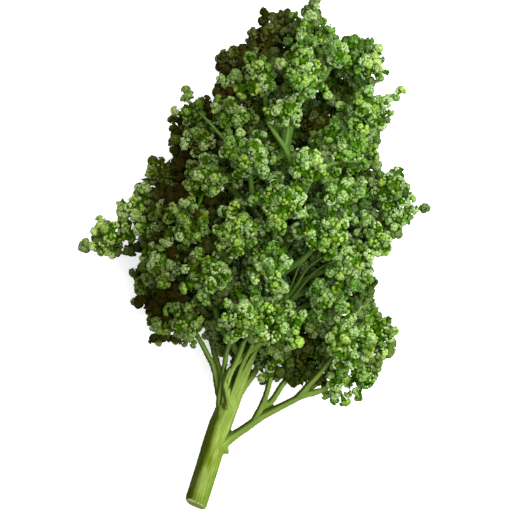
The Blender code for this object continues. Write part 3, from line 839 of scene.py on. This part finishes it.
# Gaps that stay dark: x, y and the two radii of an ellipse, in mm
darkGaps = [(13.5, -4, 4, 9.5), (16.9, -20.7, 3, 9), (17.7, -36, 4.7, 9.5), (21, 57, 6, 9),
            (17, 45, 5, 8)]
darkGapHeight = 24.0 * mm
# Single sprigs that fill out the tufts: places in mm, under the share of painted light given to them
singleSprigs = {
    0.6: [  # among the lowest stems
        (12.3, -47, 18.5), (14.2, -48.6, 19.5), (16.6, -48.9, 21), (18.9, -48.2, 23), (13.1, -43.9, 19),
        (15.8, -45.4, 18), (18.5, -45, 20), (20.5, -46.2, 22), (11.5, -40.8, 22), (17.7, -41.9, 21),
        (20.9, -43.1, 21), (13, -45, 13.5), (16, -47, 14.5), (19, -45.5, 15.5), (16, -43, 14), (13.5, -41.5, 17),
        (20, -42.5, 17), (22.5, -45, 19), (24, -42.5, 20), (1.6, -43.6, 27), (4.6, -46, 25), (8.8, -45.2, 24),
        (3.5, -41.5, 25), (5.2, -39.5, 24), (22.7, -34.4, 22), (26.3, -32.8, 24), (25.8, -39.5, 22),
        (25.4, -7.9, 28), (45.9, 19.3, 28), (50.5, 16.3, 30), (22.8, -4.5, 26), (20.1, -10.3, 24),
        (42.7, 22.2, 28), (-31.4, 6.8, 26), (6.5, -44, 23), (10.5, -42, 21), (7, -47.5, 23), (23.5, -47, 24),
        (26, -50, 25),
    ],
    0.5: [  # in the shade behind the top and on the left
        (-45.5, 26.5, 25), (-43, 24.5, 24), (-40.5, 21.5, 25), (-44.5, 19, 25), (-37.5, 25.5, 27),
        (-39.5, 29.5, 24), (-52, 8, 26), (-49, 4, 28), (-47, 14, 27), (-46, 10.5, 34), (-43.5, 6.5, 30),
        (-42, 17, 30), (-45.5, 4, 35), (-44, 13.5, 34), (-39.5, 23.5, 31), (-42.5, 29.5, 28), (-38, -20.5, 26),
        (-36, -16, 28), (-39, -17.5, 27), (-42.5, -19, 26), (10, 86.5, 28), (3, 94, 24.5), (13.5, 89, 30),
        (11.5, 80.5, 22), (9, 79, 22), (7.8, 81.6, 22), (14.4, 83.9, 26), (12.9, 81.1, 26), (22.2, 87.8, 30),
        (33.2, 73.3, 28), (23.4, 68.8, 26), (-15.5, 55.3, 28), (8.6, 68.3, 24), (29.3, 54.8, 22), (-53.5, 3.5, 33),
        (-51, 2, 34), (-48.5, 1.5, 34), (-55, 1, 33),
    ],
    1.3: [  # at the open outline
        (26.5, -53.5, 26.5), (31, -54.5, 28), (36, -53.5, 29), (39, -52.5, 29.5), (55.5, 63.8, 39),
        (-26, 61.5, 40.5), (-27.5, 64, 40.5), (-31.5, 56.5, 38.5), (-28, -33, 38), (-24.5, -33.5, 38),
        (-31, -32, 37), (-26.5, -30.5, 42), (58, 20.5, 36.5), (60.5, 18, 36), (57, 16.5, 36), (59.5, 22.5, 36),
        (-62.5, 9.5, 36), (-60.5, 13.5, 35), (-59, 11, 37), (28.5, 88, 37), (38, 84, 38), (47.5, 80.5, 37),
    ],
}


def headHeights(covered):
    # the highest surface in each cell of a grid over the head, or 0 where there is none
    step = gridLook["step"]
    (west, south), (east, north) = gridLook["from"], gridLook["to"]
    across, along = np.arange(west, east, step / mm), np.arange(south, north, step / mm)
    heights = np.zeros((len(across), len(along)))
    for i, x in enumerate(across):
        for j, y in enumerate(along):
            hit = covered.ray_cast(Vector((x, y, gridLook["above"])) * mm, -up)[0]
            if hit is not None:
                heights[i, j] = hit.z
    return across * mm, along * mm, heights


def inDarkGap(place):
    return any(math.hypot((place.x / mm - x) / across, (place.y / mm - y) / along) < 1
               for x, y, across, along in darkGaps)


def spread(cells, radius):
    # the cells within a radius of a marked one
    reach = int(radius)
    grown = np.zeros_like(cells)
    padded = np.pad(cells, reach)
    for i in range(-reach, reach + 1):
        for j in range(-reach, reach + 1):
            if i * i + j * j <= radius * radius:
                grown |= padded[reach + i:reach + i + cells.shape[0], reach + j:reach + j + cells.shape[1]]
    return grown


def notchPlaces(rng):
    # open cells that a disc of the notch's size can't reach from outside
    across, along, heights = headHeights(wholeTree(base for name, base in bases.items() if name != "stalk"))
    solid = heights > 0
    radius, beside = gridLook["notch"] / gridLook["step"], gridLook["around"]
    jitter, tilt, room = gridLook["step"] * gridLook["jitter"], gridLook["tilt"], gridLook["room"]
    closed = ~spread(~spread(solid, radius), radius)
    for i, j in zip(*np.nonzero(closed & ~solid)):
        if along[j] < gridLook["lowest"]:
            continue
        near = heights[max(0, i - beside):i + beside + 1, max(0, j - beside):j + beside + 1]
        top = near[near > 0].mean() if (near > 0).any() else 0.0
        for depth in gridLook["depths"]:
            place = Vector((across[i], along[j], top - depth))
            place += Vector([rng.uniform(-1, 1) * jitter for _ in range(3)])
            if inDarkGap(place):
                place.z = min(place.z, darkGapHeight - depth)
            if place.z < gridLook["floor"]:
                continue
            anchor, _, _, away = surroundings.find_nearest(place)
            if sprigLook["nearest"] * room[0] < away < sprigLook["furthest"] * room[1]:
                toward = Vector((rng.uniform(-tilt, tilt), rng.uniform(-tilt, tilt), 1)).normalized()
                yield place, anchor, toward, gridLook["light"], True


def sprigPlaces():
    rng = random.Random(sprigLook["seed"])
    rays = list(spreadDirections(sprigLook["rays"]))
    turns = np.arange(0, math.tau, math.tau / sprigLook["canopyRays"])
    compass = [Vector((math.cos(turn), math.sin(turn), 0)) for turn in turns]
    low, high, step = Vector(sprigLook["from"]) * mm, Vector(sprigLook["to"]) * mm, sprigLook["step"]
    counts = [int((high[k] - low[k]) / step) for k in range(3)]
    found = []
    for i in range(counts[0] * counts[1] * counts[2]):
        cell = (i % counts[0], i // counts[0] % counts[1], i // (counts[0] * counts[1]))
        place = Vector([low[k] + step * (cell[k] + rng.uniform(-1, 1) * sprigLook["jitter"]) for k in range(3)])
        anchor, _, _, away = surroundings.find_nearest(place)
        if not sprigLook["nearest"] < away < sprigLook["furthest"]:
            continue
        hits = [surroundings.ray_cast(place, ray, sprigLook["reach"]) for ray in rays]
        if any(hit[0] is not None and hit[1].dot(ray) > 0 for hit, ray in zip(hits, rays)):
            continue  # inside a solid
        above = surroundings.ray_cast(place + up * sprigLook["reach"] * 2, -up)
        gap = above[0] is None or above[2] >= stalkFace
        around = [surroundings.ray_cast(place + sprigLook["canopy"] * side + up * sprigLook["reach"] * 2, -up)[0]
                  for side in compass]
        top = max([hit.z for hit in around if hit is not None], default=0.0)
        if top < place.z + sprigLook["depth"] or gap and place.z > top * sprigLook["gapHeight"]:
            continue
        if inDarkGap(place) and place.z > darkGapHeight:
            continue
        wanted = sprigLook["enclosedGap"] if gap else sprigLook["enclosed"]
        if sum(hit[0] is not None for hit in hits) < wanted * len(rays):
            continue
        shares = [1.0 if hit[0] is None else min(1.0, hit[3] / openLook["reach"]) for hit in hits]
        toward = sum((ray * share for ray, share in zip(rays, shares)), up * 0.001)  # never quite zero
        found.append((place, anchor, toward.normalized(), sum(shares) / len(shares), gap))
    rng.shuffle(found)
    found.sort(key=lambda sprig: not sprig[4])  # those that close a gap as seen from above come first
    notches = list(notchPlaces(rng))
    print("sprigs inside:", len(found), "in notches:", len(notches))
    singles = []
    for light, group in singleSprigs.items():
        for place in group:
            place = Vector(place) * mm
            anchor = surroundings.find_nearest(place)[0]
            singles.append((place, anchor, ((place - anchor).normalized() + up).normalized(), light, True))
    return found[:sprigLook["most"]] + notches + singles


def sprigMesh(name, found):
    # twigs, each with a marked tip that a cluster is set on
    shape = bmesh.new()
    layers = ("cover", "openness", "stem", "room")
    cover, openness, stem, room = [shape.verts.layers.float.new(layer) for layer in layers]
    facing = shape.verts.layers.float_vector.new("facing")
    for place, anchor, toward, share, _ in found:
        along = (place - anchor).normalized()
        side = along.orthogonal().normalized() * sprigLook["twig"]
        ring = [shape.verts.new(anchor - along * sprigLook["root"] + Quaternion(along, math.tau * k / 3) @ side)
                for k in range(3)]
        tip = shape.verts.new(place)
        tip[cover] = 1.0
        tip[facing] = toward
        for vert in (*ring, tip):
            vert[openness] = share * sprigLook["twigLight"]
            vert[stem] = 1.0
            vert[room] = 1.0
        for k in range(3):
            shape.faces.new((ring[k], ring[(k + 1) % 3], tip))
        shape.faces.new(ring[::-1])
    return placed(name, meshFrom(shape, name))


places = sorted(sprigPlaces(), key=lambda sprig: sprig[0].y)
third = len(places) // 3 + 1
for i, name in enumerate(("inner_sprigs_lower", "inner_sprigs_middle", "inner_sprigs_upper")):
    found = places[i * third:(i + 1) * third]
    sprigs = sprigMesh(name, found)
    applyTree(sprigs, sprigTree, {
        "Seed": 2, "Lift": 0.0, "Smallest": sprigLook["smallest"], "Largest": sprigLook["largest"],
        "Lean": sprayLook["lean"], "First Kind": 0, "Last Kind": deepKinds - 1,
    })
    sprigs.data.name = name
    # painted brown shade, stronger toward the table
    low = [max(0.0, 1.0 - vert.co.z / budLook["lowReach"][1]) for vert in sprigs.data.vertices]
    markBrownShade(sprigs.data, np.array(low) * sprigLook["brown"])
    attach(sprigs, "root")
    print(name, "made:", len(found), "sprigs,", len(sprigs.data.polygons), "faces")


# Stalk

stalkShape = {
    "voxel": 0.7 * mm,
    "smoothing": 4,
    "softness": 0.5,
    "swell": 0.15 * mm,  # given back after the smoothing
    "cutReach": 0.25 * mm,
    "cutRadius": 4.6 * mm,
    "cutTurn": 24.5,  # degrees, as the stalk lies, and its slant
    "cutLean": 14,
}


stalk = bases["stalk"]
remesh = stalk.modifiers.new("even", "REMESH")
remesh.mode = "VOXEL"
remesh.voxel_size = stalkShape["voxel"]
soften = stalk.modifiers.new("soften", "SMOOTH")
soften.factor = stalkShape["softness"]
soften.iterations = stalkShape["smoothing"]
swell = stalk.modifiers.new("swell", "DISPLACE")
swell.mid_level = 0.0
swell.strength = stalkShape["swell"]
plainMesh(stalk)

# Centre lines of the strands, in mm, for streaks that run along them
strands = [
    [(-24, -97.6, 4.3), (-19, -81.7, 7.6), (-14.2, -66.1, 12.7), (-10.1, -56.4, 17.6), (-5.3, -44.7, 24.2),
     (-0.2, -31, 31), (3.7, -13.5, 36), (6.8, 6, 38), (9.2, 25.5, 39), (11.9, 45, 38.5), (14.8, 58, 37.5),
     (16.8, 66, 38)],
    [(-14.8, -75, 9), (-9.6, -70.8, 10.2), (-4, -67, 12), (2.1, -62.6, 14.8), (11.1, -57.9, 19.5),
     (17.7, -54.4, 23.4), (31, -48.6, 30.5)],
    [(-11.1, -56.4, 19.8), (-12.3, -50.5, 25.7), (-10.3, -43.9, 32), (-4.4, -23, 57)],
    [(-13.2, -62, 14.4), (-15.4, -50.5, 19.5), (-17.4, -41.5, 25.5), (-26.7, -24.4, 42)],
    [(16, -55.2, 22.4), (20.5, -49.9, 26.5), (25, -45, 31), (34, -33.5, 41.5)],
    [(16.6, -54.8, 22.6), (25.5, -48, 20), (35, -41, 20), (47.8, -29.8, 29)],
    [(1.1, -63.2, 14.2), (7.2, -54.8, 15.6), (11.6, -48.2, 17), (17, -33.9, 20.4)],
    [(-1.2, -64.8, 13.2), (2.6, -57.1, 16.4), (4.4, -51.7, 20.5), (6.8, -41, 29)],
    [(-12.2, -59, 14.4), (-14.6, -44.7, 16.5), (-18, -32, 15.5), (-23, -8.5, 14.4)],
    [(-9.4, -57.4, 15.6), (-3.7, -49.7, 16.4), (2, -38.8, 15.4), (4.3, -12.5, 13.2)],
]
# Streak cells round a strand and per mm along it, and how far apart the patterns of two strands lie
strandLook = {"around": 1.0, "along": 0.012, "apart": 3.7}
innerReach = (-0.046, -0.028)  # where the stems inside the head start and all of them are, along the bunch


def markGrain(mesh):
    # the place of each vertex round and along its nearest strand
    places = np.zeros(len(mesh.vertices) * 3)
    mesh.vertices.foreach_get("co", places)
    places = places.reshape(-1, 3) / mm
    nearest = np.full(len(places), np.inf)
    grain = np.zeros((len(places), 3))
    for number, strand in enumerate(strands):
        run = 0.0
        for start, end in zip(strand, strand[1:]):
            start, step = np.array(start), np.subtract(end, start)
            length = np.linalg.norm(step)
            share = np.clip((places - start) @ step / length ** 2, 0.0, 1.0)
            away = places - start - share[:, None] * step
            distance = np.linalg.norm(away, axis=1)
            side = np.cross(step / length, (0, 0, 1))
            side /= np.linalg.norm(side)
            front = np.cross(side, step / length)
            closer = distance < nearest
            nearest[closer] = distance[closer]
            for axis, direction in enumerate((side, front)):
                toward = away @ direction / np.maximum(distance, 1e-6)
                grain[closer, axis] = toward[closer] * strandLook["around"]
            passed = (run + share[closer] * length) * strandLook["along"]
            grain[closer, 2] = passed + number * strandLook["apart"]
            run += length
    stored = mesh.attributes.new("grain", "FLOAT_VECTOR", "POINT")
    stored.data.foreach_set("vector", grain.astype(np.float32).ravel())


def markInner(mesh):
    # 0 on the bare stalk, 1 on the stems inside the head
    start, end = innerReach
    values = np.array([(vert.co.y - start) / (end - start) for vert in mesh.vertices])
    storeValues(mesh, "inner", np.clip(values, 0, 1))


turn, lean = math.radians(stalkShape["cutTurn"]), math.radians(stalkShape["cutLean"])
cutOutward = Vector((-math.sin(turn) * math.cos(lean), -math.cos(turn) * math.cos(lean), math.sin(lean)))
cutCentre = Vector(strands[0][0]) * mm
markGrain(stalk.data)
cutShare, rimShare = [], []
for vert in stalk.data.vertices:
    away = (vert.co - cutCentre).length
    onCut = (vert.co - cutCentre).dot(cutOutward) > -stalkShape["cutReach"] and away < 2 * stalkShape["cutRadius"]
    cutShare.append(1.0 if onCut else 0.0)
    rimShare.append(max(0.0, min(1.0, away / stalkShape["cutRadius"])))
markOpenness(stalk, surroundings)
markInner(stalk.data)
storeValues(stalk.data, "cut", cutShare)
storeValues(stalk.data, "rim", rimShare)
stalk.data.materials.clear()
stalk.data.materials.append(stalkMaterial)
stalk.data.shade_smooth()
stalk.name = "stalk_ridged"
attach(stalk, "root")
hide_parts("stalk")
print("stalk made:", len(stalk.data.polygons), "faces")


# Stems that show in the gaps between the tufts, from one spray's inside into the next

gapStems = [
    # x, y, z and radius along each, in mm
    [(15.2, 29.5, 59, 1.3), (12.6, 37.5, 61, 1.15), (10.3, 42.3, 61.5, 1.1), (7, 47, 60.5, 0.85),
     (3.4, 52.6, 58, 0.6)],
    [(10.6, 41, 61.2, 1), (11.8, 46.5, 61, 0.8), (12.7, 53.6, 59, 0.55)],
    [(20.4, 29, 64, 0.9), (24.8, 33, 66.6, 0.85), (28.3, 35.3, 62.5, 0.8), (32.6, 36.1, 57, 0.7),
     (37.4, 36.5, 56, 0.5)],
    [(-7.8, 41, 58, 0.9), (-11.5, 44.3, 57.6, 0.8), (-15, 47.8, 56, 0.7), (-18.1, 51.3, 54.6, 0.6),
     (-22.8, 56, 46, 0.4)],
    [(27.9, 15, 58.5, 1), (27.8, 19, 61.6, 0.9), (26.9, 25.5, 59.6, 1), (26.6, 28, 57.5, 0.8)],
    [(12, -16.5, 36, 0.7), (15.6, -11, 43, 0.6), (19.5, -4.8, 50, 0.55), (24.8, -0.8, 58, 0.45),
     (29.5, 1.5, 61, 0.35)],
    [(12.8, -17.5, 36, 0.7), (17.4, -12, 43, 0.6), (22, -6.5, 50, 0.5), (27.5, -3, 57.5, 0.4), (32, -1.5, 60, 0.3)],
    [(12.2, -15, 36, 0.6), (14.6, -8.5, 43.5, 0.5), (17.2, -2, 50.5, 0.45), (21.5, 3, 58, 0.35), (25, 6, 61.5, 0.3)],
    # the fan over the stalk's fork
    [(-12.9, -59, 17.5, 1.4), (-12.7, -54.4, 20.6, 1.3), (-10.7, -46.6, 28.5, 1.2), (-7.6, -40, 38, 1.1),
     (-4.9, -33, 49, 0.9)],
    [(-11.6, -59, 19, 1.3), (-9.9, -54.4, 21.4, 1.2), (-7.6, -47.8, 27, 1.1), (-5.3, -41.5, 34.5, 1),
     (-1.5, -34, 47, 0.8)],
    [(-10.2, -58, 19.5, 1.2), (-8.6, -52.6, 22.4, 1.1), (-5.3, -45.4, 27.2, 1), (-1.8, -38.8, 33.5, 0.9),
     (3, -32, 44, 0.8)],
    [(-14.6, -59.5, 15.5, 1.4), (-14.4, -54.4, 19, 1.3), (-12.9, -45.4, 27, 1.1), (-11.5, -37, 37, 1),
     (-9, -30, 47, 0.8)],
]
# Heads whose single twigs stand out of the outline, and the ends of these
twigEnds = {
    (20.5, 89.5, 37): [(17.7, 97.7, 36), (23.2, 99.3, 35), (27.6, 90.4, 36), (13.6, 93.8, 34),
                         (30.2, 86.4, 37)],
    (42.7, 74, 38.2): [(42.7, 85.4, 37), (49, 80, 35), (52.5, 70.4, 34.5)],
    (5.3, 84.5, 24.2): [(2.1, 96, 23.4), (8.4, 92.6, 25)],
    (41.9, 57.5, 42): [(55.2, 63, 39), (53.7, 54.8, 38)],
    (-24, 56, 41): [(-28, 63, 40.6)],
    (50.6, 26.9, 41): [(57.2, 35.4, 39)],
    (54.5, 14.6, 35): [(64.2, 19.7, 35)],
    (-56.8, 7.4, 36): [(-64.2, 3.1, 36), (-61.9, 11.7, 36), (-55.6, -2.4, 34)],
    (-47.4, 17.7, 33): [(-53.8, 22.6, 32.8), (-46.2, 27.5, 32.8)],
    (-34.4, 31.4, 30): [(-43, 38.1, 28)],
    (-41.2, -12.2, 26): [(-48.4, -18.2, 24.4)],
    (-36.8, -27.5, 37): [(-38, -34.5, 36), (-43.5, -23.2, 35)],
    (34, -33.5, 41.5): [(47.2, -19.7, 37)],
    (41.4, -46.6, 30.5): [(39.6, -56.2, 28.5)],
    (31, -48.6, 30.5): [(34.4, -57.7, 28), (29.4, -57.2, 26.6)],
    (47.8, -29.8, 29): [(53, -22.4, 29), (54.8, -36.9, 28)],
    (6.8, -41, 29): [(1.5, -48.5, 29)],
}
gapLook = {
    "sides": 7,
    "steps": 5,
    "unevenness": 0.12,
    "seed": 8,
    "twigRoot": 0.9,  # radii, in mm
    "twigTip": 0.5,
    "twigLength": 0.8,  # share of the way to the twig's end, which its cluster covers
    "streaks": 0.02,  # streak cells for each step along a stem, and how far apart those of two stems lie
    "apart": 1.7,
}
for head, ends in twigEnds.items():
    for end in ends:
        inside = Vector(head).lerp(end, gapLook["twigLength"])
        gapStems.append([(*head, gapLook["twigRoot"]), (*inside, gapLook["twigTip"])])


def smoothLine(points):
    # Catmull-Rom through all the points
    points = [2 * points[0] - points[1], *points, 2 * points[-1] - points[-2]]
    for a, b, c, d in zip(points, points[1:], points[2:], points[3:]):
        for t in np.arange(gapLook["steps"]) / gapLook["steps"]:
            yield 0.5 * (2 * b + (c - a) * t + (2 * a - 5 * b + 4 * c - d) * t * t
                         + (3 * b - a - 3 * c + d) * t ** 3)
    yield points[-2]


def addStem(shape, layer, route, number, rng):
    line = list(smoothLine([Vector(point) for point in route]))
    rings = []
    sides = gapLook["sides"]
    for i, point in enumerate(line):
        along = (line[min(i + 1, len(line) - 1)] - line[max(i - 1, 0)]).to_3d().normalized()
        side = along.cross(up).normalized()
        rings.append([])
        for k in range(sides):
            angle = math.tau * k / sides
            out = side * math.cos(angle) + side.cross(along) * math.sin(angle)
            radius = point[3] * (1 + rng.uniform(-1, 1) * gapLook["unevenness"])
            rings[-1].append(shape.verts.new((point.to_3d() + out * radius) * mm))
            streak = i * gapLook["streaks"] + number * gapLook["apart"]
            rings[-1][-1][layer] = (math.cos(angle), math.sin(angle), streak)
    for ring, after in zip(rings, rings[1:]):
        for k in range(sides):
            shape.faces.new((ring[k], ring[(k + 1) % sides], after[(k + 1) % sides], after[k]))
    shape.faces.new(rings[0][::-1])
    shape.faces.new(rings[-1])


shape = bmesh.new()
grainLayer = shape.verts.layers.float_vector.new("grain")
stemRandom = random.Random(gapLook["seed"])
for number, route in enumerate(gapStems):
    addStem(shape, grainLayer, route, number, stemRandom)
bmesh.ops.recalc_face_normals(shape, faces=shape.faces)
stemMesh = meshFrom(shape, "gap_stems")
gapObject = placed("gap_stems", stemMesh)
markOpenness(gapObject, surroundings)
markInner(stemMesh)
stemMesh.materials.append(stalkMaterial)
stemMesh.shade_smooth()
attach(gapObject, "root")
print("stems in the gaps made")


# Table, light and camera

studio = {
    "floor": 16.0,
    "keyEnergy": 41.2,
    "keySize": 1.5,
    "keyPlace": (0.48, 0.20, 1.0),
    "fillEnergy": 0.42,
    "lens": 500.0,
    "sensor": 36.0,
    "width": 0.1997,  # what the picture's width spans, in metres
    "aim": (-0.0002, 0.0, 0.02),
}
shape = bmesh.new()
bmesh.ops.create_grid(shape, x_segments=1, y_segments=1, size=studio["floor"] / 2)
floor = placed("table_top", meshFrom(shape, "table_top"))
floor.data.materials.append(floorMaterial)

aim = Vector(studio["aim"])
key = bpy.data.lights.new("key", "AREA")
key.shape = "DISK"
key.energy = studio["keyEnergy"]
key.size = studio["keySize"]
keyObject = placed("key", key)
keyObject.location = studio["keyPlace"]
keyObject.rotation_euler = (aim - keyObject.location).to_track_quat("-Z", "Y").to_euler()

world = bpy.data.worlds.new("studio")
world.use_nodes = True
background = world.node_tree.nodes["Background"].inputs
background["Color"].default_value = (1.0, 1.0, 1.0, 1.0)
background["Strength"].default_value = studio["fillEnergy"]
scene.world = world
scene.view_settings.view_transform = "Standard"

camera = bpy.data.cameras.new("camera")
camera.lens = studio["lens"]
camera.sensor_width = studio["sensor"]
cameraObject = placed("camera", camera)
cameraObject.location = aim + up * studio["width"] * studio["lens"] / studio["sensor"]
scene.camera = cameraObject

for store in stores:
    for obj in list(store.objects):
        bpy.data.objects.remove(obj)
    bpy.data.collections.remove(store)
print("scene ready")
